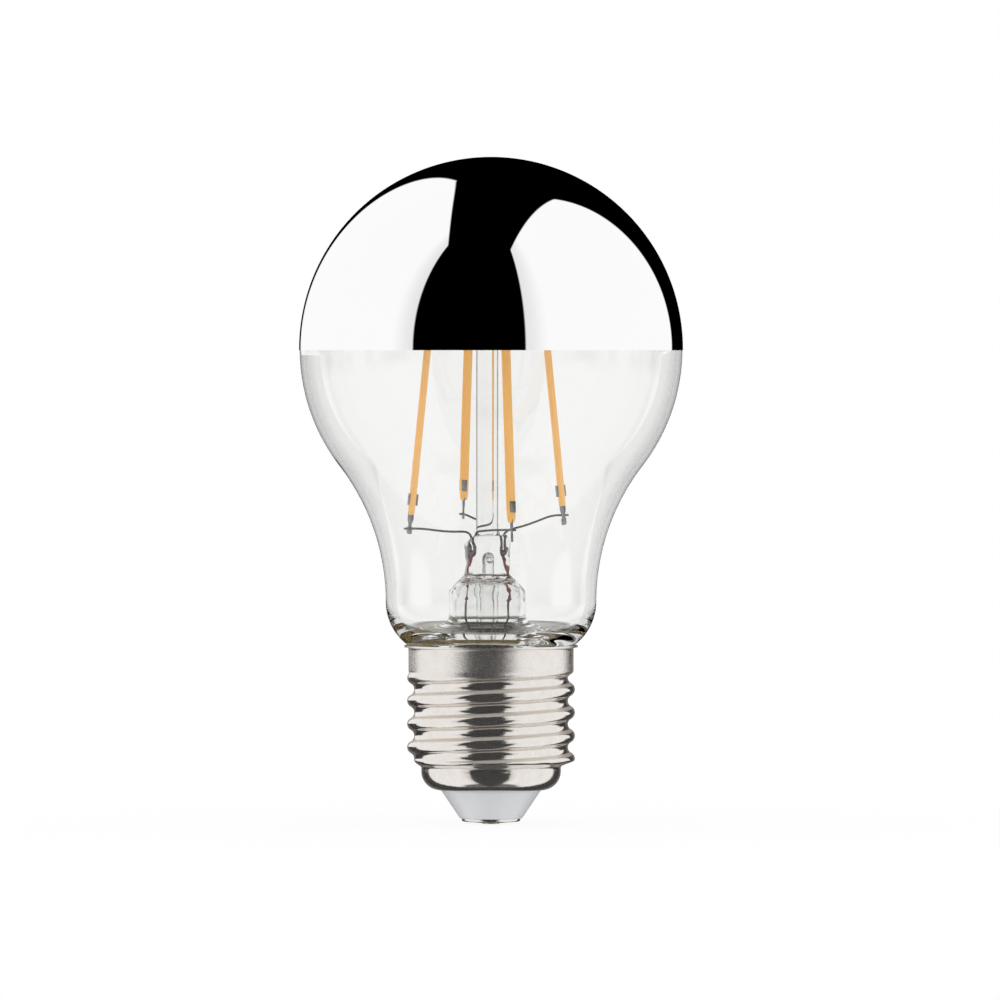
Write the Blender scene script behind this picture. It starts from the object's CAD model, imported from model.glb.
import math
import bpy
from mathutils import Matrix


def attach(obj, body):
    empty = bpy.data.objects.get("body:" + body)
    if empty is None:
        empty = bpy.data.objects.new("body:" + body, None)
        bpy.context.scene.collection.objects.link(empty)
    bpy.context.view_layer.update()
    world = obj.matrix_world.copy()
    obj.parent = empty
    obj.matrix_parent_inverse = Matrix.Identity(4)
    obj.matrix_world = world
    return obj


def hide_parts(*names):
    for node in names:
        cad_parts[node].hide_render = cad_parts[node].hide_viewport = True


bl_info = {
    "name": "Silver Crown Lamp",
    "version": (1, 0, 0),
    "blender": (4, 5, 0),
    "location": "View3D > Sidebar > Crown Lamp",
    "description": "Dresses a crown silvered filament lamp: blown glass, mirror, light strips, wires and rolled cap",
    "category": "Object",
}

from functools import partial

import bmesh
import bpy
from mathutils import Matrix, Vector, noise

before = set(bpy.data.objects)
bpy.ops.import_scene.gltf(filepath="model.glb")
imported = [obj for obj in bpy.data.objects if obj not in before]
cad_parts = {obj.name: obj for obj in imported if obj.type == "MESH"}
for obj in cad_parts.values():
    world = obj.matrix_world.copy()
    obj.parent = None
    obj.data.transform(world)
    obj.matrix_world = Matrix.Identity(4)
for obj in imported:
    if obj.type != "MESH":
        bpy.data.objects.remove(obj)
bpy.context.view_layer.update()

MM = 0.001
BODY = "root"
SEED = 7

# Half the width and depth of the hollow under the press
HOLLOW_WIDTH = 3.7
HOLLOW_DEPTH = 1.6

# Where an outer lead enters the driver board, beside the axis
BOARD_HOLE = 5.5

# A wire's sides, and its narrowed ends as shares of its radius
WIRE_SIDES = 14
WIRE_TIP_LENGTH = 0.35
WIRE_TIP_WIDTH = 0.7


# Helpers for sizes and nodes


def length(name, description, millimetres):
    return bpy.props.FloatProperty(
        name=name, description=description, default=millimetres * MM, min=0.0, precision=5, unit="LENGTH"
    )


def angle(name, description, degrees):
    return bpy.props.FloatProperty(
        name=name, description=description, default=math.radians(degrees), subtype="ANGLE", unit="ROTATION"
    )


def tint(name, description, value):
    return bpy.props.FloatVectorProperty(
        name=name, description=description, default=value, size=3, min=0.0, max=1.0, subtype="COLOR"
    )


def add(tree, kind, inputs=None, **settings):
    """Adds a node, with its settings and with values or links for its inputs."""
    made = tree.nodes.new(kind)
    for key, value in settings.items():
        setattr(made, key, value)
    for key, value in (inputs or {}).items():
        socket = made.inputs[key]
        if isinstance(value, bpy.types.NodeSocket):
            tree.links.new(value, socket)
        else:
            socket.default_value = value
    return made


def sums(tree, operation, first, second=0.0, third=0.0):
    """The result of one Math node."""
    return add(tree, "ShaderNodeMath", {0: first, 1: second, 2: third}, operation=operation).outputs[0]


def ranged(tree, value, low, high, to_low=0.0, to_high=1.0, smooth=True):
    """A value carried from one range to another."""
    kind = "SMOOTHSTEP" if smooth else "LINEAR"
    made = add(
        tree,
        "ShaderNodeMapRange",
        {"Value": value, "From Min": low, "From Max": high, "To Min": to_low, "To Max": to_high},
        interpolation_type=kind,
    )
    return made.outputs["Result"]


def mixed(tree, factor, first, second):
    """Two colours mixed."""
    made = add(tree, "ShaderNodeMix", {"Factor": factor}, data_type="RGBA")
    for socket, value in ((made.inputs[6], first), (made.inputs[7], second)):
        if isinstance(value, bpy.types.NodeSocket):
            tree.links.new(value, socket)
        else:
            socket.default_value = (*value[:3], 1.0)
    return made.outputs[2]


def between(first, second, part):
    """A number part of the way from the first to the second."""
    return first + (second - first) * part


# The sizes and colours that a user would change


class GlassSizes(bpy.types.PropertyGroup):
    crown_radius: length("Crown radius", "Outer radius of the glass sphere", 29.9)
    crown_height: length("Crown height", "Height of the sphere's centre over the centre contact", 74.2)
    wall: length("Wall", "Thickness of the blown wall", 0.7)
    neck_radius: length("Neck radius", "Outer radius at the waist of the neck", 16.45)
    neck_height: length("Neck height", "Height of the waist", 34.705)
    foot_round: length("Foot rounding", "Radius of the neck's rounded foot", 8.4)
    foot_inner_round: length("Inner foot rounding", "Radius of the hollow inside the foot", 5.6)
    seal_radius: length("Seal radius", "Where the flare is sealed into the foot", 8.9)
    mirror_edge: length("Mirror edge", "Height of the mirror's level edge", 74.0)
    mirror_gap: length("Mirror gap", "Hairline between the silver and the glass", 0.02)
    mirror_skin: length("Mirror skin", "Thickness of the silver layer", 0.069)
    tint: tint("Glass tint", "Colour that the clear glass lets through", (0.964, 0.966, 0.960))
    edge_tint: tint("Glass edge tint", "Colour of the glass where it is seen edge on", (0.60, 0.61, 0.60))


class StemSizes(bpy.types.PropertyGroup):
    shift: length("Stem shift", "How far left of the bulb's axis the stem stands", 0.6)
    press_turn: angle("Press turn", "Turn of the flat press about the axis", 15.0)
    flare_radius: length("Flare radius", "Outer radius of the flare tube", 6.0)
    flare_wall: length("Flare wall", "Wall of the flare tube", 0.9)
    shoulder: length("Shoulder height", "Where the flare starts to close", 35.6)
    press_foot: length("Press foot", "Where the flat press starts", 38.9)
    press_top: length("Press top", "Top of the press", 45.2)
    press_width: length("Press width", "Width of the press", 6.9)
    press_depth: length("Press depth", "Thickness of the press", 4.2)
    tube_radius: length("Tube radius", "Outer radius of the exhaust tube", 1.75)
    bore_radius: length("Bore radius", "Inner radius of the exhaust tube", 0.95)
    tube_tip: length("Tube tip", "Lowest point of the exhaust tube", 15.5)
    rod_radius: length("Rod radius", "Radius of the glass support rod", 1.75)
    bead_radius: length("Bead radius", "Radius of the bead on the rod", 2.6)
    bead_height: length("Bead height", "Height of the bead's middle", 81.836)
    lumps: length("Lumps", "Unevenness of the squeezed glass", 0.12)


class StripSizes(bpy.types.PropertyGroup):
    strip_length: length("Strip length", "Length of one coated strip", 31.0)
    strip_width: length("Strip width", "Width of a strip round the axis", 1.4)
    strip_depth: length("Strip depth", "Thickness of a strip towards the axis", 1.0)
    foot_radius: length("Foot radius", "Distance of a strip's foot from the stem's axis", 12.4)
    lean: angle("Lean", "How far a strip leans in towards the axis", 5.9)
    coat: tint("Coat", "Colour of the coat over the lights", (0.95, 0.42, 0.07))
    coat_back: tint("Coat back", "Paler colour of the coat's back", (0.96, 0.56, 0.22))


class WireSizes(bpy.types.PropertyGroup):
    wire_radius: length("Wire radius", "Radius of the support wires", 0.175)
    seal_radius: length("Seal wire radius", "Radius of the copper clad wires in the seal", 0.2)
    lead_spacing: length("Lead spacing", "Distance between the leads in the press", 4.5)
    lead_fork: length("Lead fork", "Distance between the two wires of one lead", 0.5)
    weld_height: length("Weld height", "Height of the welds in the press", 42.4)
    knee_height: length("Knee height", "Height of the welds below the press", 35.1)
    knee_spacing: length("Knee spacing", "Distance between the welds below the press", 6.8)
    copper: tint("Copper", "Colour of the copper clad wire inside the glass", (0.72, 0.24, 0.19))


class CapSizes(bpy.types.PropertyGroup):
    sheet: length("Sheet", "Thickness of the cap's sheet", 0.3)
    cap_height: length("Cap height", "Top of the lip", 27.9)
    collar_radius: length("Collar radius", "Outer radius of the plain collar", 12.9)
    crest_radius: length("Crest radius", "Outer radius over the thread", 13.1)
    thread_depth: length("Thread depth", "From crest to root", 1.1)
    pitch: length("Pitch", "Rise of the thread in one turn", 3.629)
    thread_top: length("Thread top", "Where the collar starts", 24.6)
    run_in: length("Run in", "Height over which the thread fades into the collar", 1.7)
    run_out: length("Run out", "Height over which the thread fades into the bowl", 1.8)
    land: length("Land", "Straight sheet at both ends of the thread", 0.6)
    first_crest: length("First crest", "Height of a crest in the direction of +X", 21.03)
    mouth_radius: length("Mouth radius", "Radius of the opening for the insulator", 8.0)
    mouth_height: length("Mouth height", "Lowest edge of the sheet", 5.3)
    bowl_round: length("Bowl rounding", "Radius of the turned-in foot", 2.9)
    lip_bend: length("Lip bend", "Radius of the bell mouth", 0.6)
    lip_reach: length("Lip reach", "Flat beyond the bell mouth's bend", 0.35)
    tip_radius: length("Tip radius", "Radius of the insulator's tip", 5.0)
    contact_radius: length("Contact radius", "Radius of the centre contact", 4.6)
    nickel: tint("Nickel", "Colour of the plated sheet", (0.84, 0.80, 0.76))
    rubbed: tint("Rubbed nickel", "Colour of the thread's upper flanks and of edges", (0.70, 0.62, 0.53))
    plastic: tint("Insulator", "Colour of the moulded insulator", (0.66, 0.665, 0.69))
    cement: tint("Cement", "Colour of the baked cement", (0.60, 0.46, 0.20))


class StageSettings(bpy.types.PropertyGroup):
    eye_height: length("Eye height", "Height of the camera, level with the mirror's edge", 74.0)
    aim_height: length("Aim height", "Height at the middle of the picture", 50.6)
    aim_side: length("Aim to the right", "Offset of the picture's middle from the axis", 1.4)
    distance: length("Distance", "From the camera to the lamp's axis", 1600.0)
    lens: bpy.props.FloatProperty(name="Lens", description="Focal length in millimetres", default=368.7, min=1.0)
    floor_radius: length("Floor radius", "Radius at which the pale floor has faded out", 240.0)


GROUPS = {
    "lamp_glass": GlassSizes,
    "lamp_stem": StemSizes,
    "lamp_strips": StripSizes,
    "lamp_wires": WireSizes,
    "lamp_cap": CapSizes,
    "lamp_stage": StageSettings,
}

# Name, angle about the axis, height of the strip's foot, and how far below it the support wire is welded
STRIPS = (
    ("left", 197.6, 48.5, 2.2),
    ("rear", 107.6, 50.7, 2.3),
    ("front", -72.4, 47.4, 1.2),
    ("right", 17.6, 49.8, 1.5),
)


class Sizes:
    """A property group read in millimetres, degrees and plain numbers."""

    def __init__(self, group):
        self.group = group

    def __getattr__(self, name):
        kind = self.group.bl_rna.properties[name]
        value = getattr(self.group, name)
        if kind.unit == "LENGTH":
            return value / MM
        return value


def sizes(name):
    return Sizes(getattr(bpy.context.scene, name))


# Meshes


def ring(radius, height, shift=0.0, depth=None, square=2.0, turn=0.0):
    """One level loop of a skin: half width, height, shift to the left, half depth, squareness and turn."""
    return (radius, height, shift, radius if depth is None else depth, square, turn)


def arc_rings(centre, radius, start, end, steps, shift=0.0, skip=0):
    """Rings along an arc of the outline, between two directions in degrees from outward towards up."""
    made = []
    for step in range(skip, steps + 1):
        turn = math.radians(start + (end - start) * step / steps)
        made.append(ring(max(centre[0] + radius * math.cos(turn), 0.0), centre[1] + radius * math.sin(turn), shift))
    return made


def straight_rings(start, end, steps, shift=0.0):
    """Rings along a straight run of the outline, given as (radius, height)."""
    parts = [step / steps for step in range(1, steps + 1)]
    return [ring(between(start[0], end[0], part), between(start[1], end[1], part), shift) for part in parts]


def ring_points(loop, segments):
    radius, height, shift, depth, square, turn = loop
    points = []
    for index in range(segments):
        around = 2 * math.pi * index / segments - turn
        across, away = math.cos(around), math.sin(around)
        power = 2 / square
        x = radius * math.copysign(abs(across) ** power, across)
        y = depth * math.copysign(abs(away) ** power, away)
        points.append(
            Vector((x * math.cos(turn) - y * math.sin(turn) - shift, x * math.sin(turn) + y * math.cos(turn), height))
        )
    return points


def skin(work, rings, segments=144, closed=False, hollow=False, shape=None, sheet=False):
    """Joins rings into one skin of a bmesh, in millimetres. A ring of no radius is a pole. A closed skin joins its
    last ring to its first. The skin of a hollow faces inwards, and an open sheet faces away from the axis."""
    loops = []
    for loop in rings:
        places = ring_points(loop, segments) if loop[0] > 1e-6 else [Vector((-loop[2], 0, loop[1]))]
        if shape:
            places = [shape(place) for place in places]
        loops.append([work.verts.new(place) for place in places])
    faces = []
    pairs = list(zip(loops, loops[1:]))
    if closed:
        pairs.append((loops[-1], loops[0]))
    for low, high in pairs:
        for index in range(segments):
            after = (index + 1) % segments
            corners = [low[index % len(low)], low[after % len(low)], high[after % len(high)], high[index % len(high)]]
            unique = list(dict.fromkeys(corners))
            if len(unique) > 2:
                faces.append(work.faces.new(unique))
    bmesh.ops.recalc_face_normals(work, faces=faces)
    facing = sum(face.normal.x * face.calc_center_median().x for face in faces)
    if hollow or (sheet and facing < 0):
        bmesh.ops.reverse_faces(work, faces=faces)
    return faces


def dressed(name, mesh, material, sharp):
    """Links a smooth mesh of one material. Edges over the angle, in degrees, stay sharp."""
    mesh.polygons.foreach_set("use_smooth", [True] * len(mesh.polygons))
    if sharp is not None:
        mesh.set_sharp_from_angle(angle=math.radians(sharp))
    mesh.materials.clear()
    mesh.materials.append(material)
    made = bpy.data.objects.new(name, mesh)
    bpy.context.scene.collection.objects.link(made)
    return made


def finish_mesh(name, work, material, sharp=None):
    """Turns a bmesh in millimetres into an object at the origin, in metres."""
    bmesh.ops.scale(work, vec=(MM, MM, MM), verts=work.verts)
    mesh = bpy.data.meshes.new(name)
    work.to_mesh(mesh)
    work.free()
    return dressed(name, mesh, material, sharp)


def settle(piece, slot, *nodes):
    """Ties a finished piece to the lamp's body, its material slot and the solids that it stands for."""
    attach(piece, BODY)
    if nodes:
        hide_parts(*nodes)
    return piece


def plain_mesh(piece, name, material, sharp=None):
    """The evaluated shape of an object as a new plain mesh object. The first object is removed."""
    bpy.context.view_layer.update()
    evaluated = piece.evaluated_get(bpy.context.evaluated_depsgraph_get())
    mesh = bpy.data.meshes.new_from_object(evaluated)
    piece.name = name + "_base"
    mesh.name = name
    made = dressed(name, mesh, material, sharp)
    bpy.data.objects.remove(piece)
    return made


def wire(work, points, radius, bend=1.2):
    """A round wire through points in millimetres, with rounded bends and slightly narrowed cut ends."""
    path = rounded_path(points, bend)
    last = len(path) - 1
    headings = [(path[min(index + 1, last)] - path[max(index - 1, 0)]).normalized() for index in range(last + 1)]
    side = headings[0].orthogonal().normalized()
    rows = []
    for place, heading in zip(path, headings):
        side = (side - heading * side.dot(heading)).normalized()
        rows.append((place, side, heading.cross(side), 1.0))
    tip = radius * WIRE_TIP_LENGTH
    rows.insert(0, (path[0] - headings[0] * tip, *rows[0][1:3], WIRE_TIP_WIDTH))
    rows.append((path[-1] + headings[-1] * tip, *rows[-1][1:3], WIRE_TIP_WIDTH))
    turns = [2 * math.pi * index / WIRE_SIDES for index in range(WIRE_SIDES)]
    rings = []
    for place, side, up, narrow in rows:
        spots = [place + (side * math.cos(turn) + up * math.sin(turn)) * radius * narrow for turn in turns]
        rings.append([work.verts.new(spot) for spot in spots])
    faces = []
    for low, high in zip(rings, rings[1:]):
        for index in range(WIRE_SIDES):
            after = (index + 1) % WIRE_SIDES
            faces.append(work.faces.new([low[index], low[after], high[after], high[index]]))
    faces.append(work.faces.new(list(reversed(rings[0]))))
    faces.append(work.faces.new(rings[-1]))
    bmesh.ops.recalc_face_normals(work, faces=faces)


def rounded_path(points, bend, steps=7):
    """Points along straight runs whose corners are rounded."""
    path = [points[0]]
    for before, corner, after in zip(points, points[1:], points[2:]):
        inward, outward = (before - corner), (after - corner)
        reach = min(bend, 0.45 * inward.length, 0.45 * outward.length)
        start, end = corner + inward.normalized() * reach, corner + outward.normalized() * reach
        for step in range(steps + 1):
            part = step / steps
            path.append(start * (1 - part) ** 2 + corner * 2 * part * (1 - part) + end * part**2)
    path.append(points[-1])
    return path


def ball(work, place, radius, flat=1.0):
    made = bmesh.ops.create_uvsphere(work, u_segments=20, v_segments=12, radius=radius)
    bmesh.ops.scale(work, vec=(1, 1, flat), verts=made["verts"])
    bmesh.ops.translate(work, vec=place, verts=made["verts"])


# Node groups


def node_group(name, inputs, outputs, kind="ShaderNodeTree"):
    """A new node group with its sockets, and its two end nodes."""
    tree = bpy.data.node_groups.new(name, kind)
    for socket, socket_kind, value in inputs:
        made = tree.interface.new_socket(name=socket, in_out="INPUT", socket_type=socket_kind)
        if value is not None:
            made.default_value = value
    for socket, socket_kind in outputs:
        tree.interface.new_socket(name=socket, in_out="OUTPUT", socket_type=socket_kind)
    return tree, tree.nodes.new("NodeGroupInput"), tree.nodes.new("NodeGroupOutput")


def geometry_group(name, *numbers):
    """A geometry node group that takes a geometry and plain numbers, and gives a geometry."""
    inputs = [("Geometry", "NodeSocketGeometry", None)] + [(number, "NodeSocketFloat", None) for number in numbers]
    return node_group(name, inputs, [("Geometry", "NodeSocketGeometry")], "GeometryNodeTree")


def paint(tree, end, geometry, material):
    """Makes copies real, gives them their material and ends the group."""
    real = add(tree, "GeometryNodeRealizeInstances", {"Geometry": geometry})
    painted = add(tree, "GeometryNodeSetMaterial", {"Geometry": real.outputs["Geometry"], "Material": material})
    tree.links.new(painted.outputs["Geometry"], end.inputs["Geometry"])


def mottle_group():
    """Soft cloudy unevenness of a plated, moulded or baked surface, with finer grains inside it."""
    if "Mottle" in bpy.data.node_groups:
        return bpy.data.node_groups["Mottle"]
    tree, start, end = node_group(
        "Mottle",
        [("Scale", "NodeSocketFloat", 900.0), ("Grain", "NodeSocketFloat", 0.4), ("Sharpness", "NodeSocketFloat", 0.5)],
        [("Mask", "NodeSocketFloat"), ("Height", "NodeSocketFloat")],
    )
    place = add(tree, "ShaderNodeTexCoord").outputs["Object"]
    wide = add(tree, "ShaderNodeTexNoise", {"Vector": place, "Scale": start.outputs["Scale"], "Detail": 3.0})
    fine_scale = sums(tree, "MULTIPLY", start.outputs["Scale"], 5.3)
    fine = add(tree, "ShaderNodeTexNoise", {"Vector": place, "Scale": fine_scale, "Detail": 2.0})
    both = add(
        tree,
        "ShaderNodeMix",
        {"Factor": start.outputs["Grain"], 2: wide.outputs["Fac"], 3: fine.outputs["Fac"]},
        data_type="FLOAT",
    ).outputs[0]
    spread = sums(tree, "MULTIPLY", start.outputs["Sharpness"], 0.35)
    mask = ranged(tree, both, sums(tree, "SUBTRACT", 0.5, spread), sums(tree, "ADD", 0.5, spread))
    tree.links.new(mask, end.inputs["Mask"])
    tree.links.new(both, end.inputs["Height"])
    return tree


def turning_marks_group():
    """Fine marks that run round the lamp's axis, as a spun or rubbed surface has."""
    if "Turning Marks" in bpy.data.node_groups:
        return bpy.data.node_groups["Turning Marks"]
    tree, start, end = node_group(
        "Turning Marks",
        [("Scale", "NodeSocketFloat", 6000.0), ("Length", "NodeSocketFloat", 30.0)],
        [("Mask", "NodeSocketFloat")],
    )
    place = add(tree, "ShaderNodeTexCoord").outputs["Object"]
    parts = add(tree, "ShaderNodeSeparateXYZ", {0: place})
    round_way = sums(tree, "ARCTAN2", parts.outputs["Y"], parts.outputs["X"])
    along = sums(tree, "MULTIPLY", sums(tree, "SINE", round_way), start.outputs["Length"])
    across = sums(tree, "MULTIPLY", sums(tree, "COSINE", round_way), start.outputs["Length"])
    high = sums(tree, "MULTIPLY", parts.outputs["Z"], start.outputs["Scale"])
    vector = add(tree, "ShaderNodeCombineXYZ", {"X": along, "Y": across, "Z": high}).outputs[0]
    marks = add(tree, "ShaderNodeTexNoise", {"Vector": vector, "Scale": 1.0, "Detail": 4.0, "Roughness": 0.6})
    tree.links.new(ranged(tree, marks.outputs["Fac"], 0.35, 0.7), end.inputs["Mask"])
    return tree


def grouped(tree, group, **inputs):
    node = add(tree, "ShaderNodeGroup", node_tree=group)
    for key, value in inputs.items():
        node.inputs[key].default_value = value
    return node


# Finishes


def finish(name, **shader_values):
    """Makes the function under it give one shared material, whose nodes and Principled shader it dresses."""

    def keep(dress):
        def shared():
            material = bpy.data.materials.get("lamp_" + name)
            if material is None:
                material = bpy.data.materials.new("lamp_" + name)
                material.use_nodes = True
                shader = material.node_tree.nodes["Principled BSDF"]
                for key, value in shader_values.items():
                    shader.inputs[key.replace("_", " ")].default_value = value
                dress(material.node_tree, shader)
            return material

        return shared

    return keep


def bump(tree, shader, height, distance, strength):
    made = add(tree, "ShaderNodeBump", {"Height": height, "Distance": distance, "Strength": strength})
    tree.links.new(made.outputs["Normal"], shader.inputs["Normal"])


def clouded(tree, shader, dark, light, scale, grain, sharpness):
    """Colours the surface in two tones that clouds mix. Gives the clouds."""
    cloud = grouped(tree, mottle_group(), Scale=scale, Grain=grain, Sharpness=sharpness).outputs
    tree.links.new(mixed(tree, cloud["Mask"], dark, light), shader.inputs["Base Color"])
    return cloud


def seen_edge_on(tree):
    return add(tree, "ShaderNodeLayerWeight", {"Blend": 0.5}).outputs["Facing"]


@finish("clear_glass", Roughness=0.0, IOR=1.5, Transmission_Weight=1.0, Metallic=0.0, Specular_IOR_Level=0.4)
def clear_glass(tree, shader):
    glass = bpy.context.scene.lamp_glass
    rim = ranged(tree, sums(tree, "POWER", seen_edge_on(tree), 3.0), 0.25, 1.0, smooth=False)
    tree.links.new(mixed(tree, rim, glass.tint, glass.edge_tint), shader.inputs["Base Color"])
    place = add(tree, "ShaderNodeTexCoord").outputs["Object"]
    waves = add(tree, "ShaderNodeTexNoise", {"Vector": place, "Scale": 90.0})
    bump(tree, shader, waves.outputs["Fac"], 0.00003, 0.35)


@finish("silver_mirror", Metallic=1.0, Roughness=0.012)
def silver(tree, shader):
    cloud = grouped(tree, mottle_group(), Scale=60.0, Grain=0.15, Sharpness=1.2)
    colour = mixed(tree, cloud.outputs["Mask"], (0.965, 0.965, 0.97), (0.95, 0.952, 0.96))
    rim = ranged(tree, seen_edge_on(tree), 0.80, 1.0)
    tree.links.new(mixed(tree, rim, colour, (0.42, 0.42, 0.44)), shader.inputs["Base Color"])


@finish("cap_nickel")
def nickel(tree, shader):
    cap, do = bpy.context.scene.lamp_cap, partial(sums, tree)
    cloud = grouped(tree, mottle_group(), Scale=700.0, Grain=0.45, Sharpness=0.7).outputs
    speckle = grouped(tree, mottle_group(), Scale=2600.0, Grain=0.5, Sharpness=0.9).outputs["Mask"]
    marks = grouped(tree, turning_marks_group(), Scale=5200.0, Length=26.0).outputs["Mask"]
    spot = add(tree, "ShaderNodeTexCoord")
    height = add(tree, "ShaderNodeSeparateXYZ", {0: spot.outputs["Object"]}).outputs["Z"]
    upward = add(tree, "ShaderNodeSeparateXYZ", {0: spot.outputs["Normal"]}).outputs["Z"]
    # The collar is mottled, and the thread's upward flanks are rubbed
    collar = ranged(tree, height, cap.thread_top - 0.0024, cap.thread_top - 0.0012)
    thread = do("SUBTRACT", ranged(tree, height, 0.0088, 0.0098), collar)
    rubbed = do("MULTIPLY", ranged(tree, upward, 0.55, 0.80, 0.0, 0.75), thread)
    satin = do("MULTIPLY", collar, speckle)
    colour = mixed(tree, cloud["Mask"], [part * 0.9 for part in cap.nickel], cap.nickel)
    colour = mixed(tree, rubbed, colour, cap.rubbed)
    rim = ranged(tree, seen_edge_on(tree), 0.72, 0.97)
    tree.links.new(mixed(tree, rim, colour, cap.rubbed), shader.inputs["Base Color"])
    metallic = ranged(tree, do("MAXIMUM", rim, rubbed), 0.0, 1.0, 0.93, 0.30, smooth=False)
    tree.links.new(metallic, shader.inputs["Metallic"])
    rough = ranged(tree, cloud["Mask"], 0.0, 1.0, 0.07, 0.12, smooth=False)
    for mask, more in ((marks, 0.03), (satin, 0.10), (collar, 0.10), (rubbed, 0.35)):
        rough = do("MULTIPLY_ADD", mask, more, rough)
    tree.links.new(rough, shader.inputs["Roughness"])
    relief = do("MULTIPLY_ADD", marks, 0.3, cloud["Height"])
    bump(tree, shader, do("MULTIPLY_ADD", satin, 0.8, relief), 0.00002, 0.35)


@finish("nickel_wire", Metallic=1.0, Roughness=0.38)
def wire_nickel(tree, shader):
    clouded(tree, shader, (0.09, 0.084, 0.075), (0.26, 0.245, 0.22), 2500.0, 0.5, 0.8)


@finish("nickel_tab", Metallic=1.0, Roughness=0.33)
def tab_nickel(tree, shader):
    clouded(tree, shader, (0.16, 0.16, 0.16), (0.42, 0.42, 0.42), 2200.0, 0.5, 0.7)


@finish("copper_clad", Metallic=0.25, Roughness=0.45)
def copper_clad(tree, shader):
    copper = bpy.context.scene.lamp_wires.copper
    clouded(tree, shader, [part * 0.6 for part in copper], copper, 1800.0, 0.4, 0.9)


@finish("phosphor_coat", Roughness=0.42)
def phosphor(tree, shader):
    strips = bpy.context.scene.lamp_strips
    cloud = grouped(tree, mottle_group(), Scale=1500.0, Grain=0.5, Sharpness=0.9)
    place = add(tree, "ShaderNodeTexCoord").outputs["Object"]
    facing = add(tree, "ShaderNodeSeparateXYZ", {0: add(tree, "ShaderNodeNewGeometry").outputs["Normal"]})
    back = ranged(tree, facing.outputs["X"], -0.35, 0.75)
    wave = {"Vector": place, "Scale": 155.0, "Distortion": 0.6, "Detail": 1.0}
    beads = add(tree, "ShaderNodeTexWave", wave, bands_direction="Z").outputs["Fac"]
    colour = mixed(tree, back, strips.coat, strips.coat_back)
    colour = mixed(tree, sums(tree, "MULTIPLY", beads, 0.25), colour, (0.95, 0.50, 0.09))
    colour = mixed(tree, sums(tree, "MULTIPLY", cloud.outputs["Mask"], 0.3), colour, strips.coat)
    tree.links.new(colour, shader.inputs["Base Color"])
    # A phosphor glows a little in white light
    shader.inputs["Emission Color"].default_value = (0.95, 0.55, 0.16, 1.0)
    shader.inputs["Emission Strength"].default_value = 0.42
    shader.inputs["Subsurface Weight"].default_value = 0.35
    shader.inputs["Subsurface Radius"].default_value = (0.0009, 0.0005, 0.0002)
    shader.inputs["Subsurface Scale"].default_value = 1.0
    bump(tree, shader, beads, 0.00004, 0.5)


@finish("insulator_grey", Roughness=0.34, Coat_Weight=0.15)
def insulator_plastic(tree, shader):
    plastic = bpy.context.scene.lamp_cap.plastic
    cloud = grouped(tree, mottle_group(), Scale=420.0, Grain=0.35, Sharpness=1.0)
    marks = grouped(tree, turning_marks_group(), Scale=2600.0, Length=14.0)
    colour = mixed(tree, cloud.outputs["Mask"], [part * 0.94 for part in plastic], plastic)
    colour = mixed(tree, sums(tree, "MULTIPLY", marks.outputs["Mask"], 0.12), colour, (0.62, 0.61, 0.59))
    tree.links.new(colour, shader.inputs["Base Color"])
    bump(tree, shader, cloud.outputs["Height"], 0.00005, 0.4)


@finish("basing_cement", Roughness=0.6)
def baked_cement(tree, shader):
    cement = bpy.context.scene.lamp_cap.cement
    pale = [min(part * 1.3 + 0.16, 1.0) for part in cement]
    cloud = clouded(tree, shader, cement, pale, 380.0, 0.5, 0.8)
    bump(tree, shader, cloud["Height"], 0.0003, 0.8)


def plain_finish(name, dark, light, scale, roughness, metallic=0.0):
    """A finish for small pieces: two close tones with a fine grain."""

    @finish(name, Roughness=roughness, Metallic=metallic)
    def toned(tree, shader):
        cloud = clouded(tree, shader, dark, light, scale, 0.5, 0.7)
        bump(tree, shader, cloud["Height"], 0.00005, 0.5)

    return toned()


# Glass


def crown_tangent(glass):
    """The neck's blend radius, and where it leaves the sphere, as a direction in degrees."""
    reach = glass.crown_height - glass.neck_height
    blend = (reach**2 + glass.neck_radius**2 - glass.crown_radius**2) / (
        2 * (glass.crown_radius - glass.neck_radius)
    )
    return blend, math.degrees(math.atan2(-reach, glass.neck_radius + blend))


def side_rings(glass, inset):
    """The bulb's side from its top to the neck, at a depth under the outer face."""
    blend, turn = crown_tangent(glass)
    crown = arc_rings((0, glass.crown_height), glass.crown_radius - inset, 90, turn, 72)
    neck = arc_rings((glass.neck_radius + blend, glass.neck_height), blend + inset, turn + 180, 180, 40, skip=1)
    crown[0] = ring(0.0, glass.crown_height + glass.crown_radius - inset)
    return crown + neck


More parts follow.
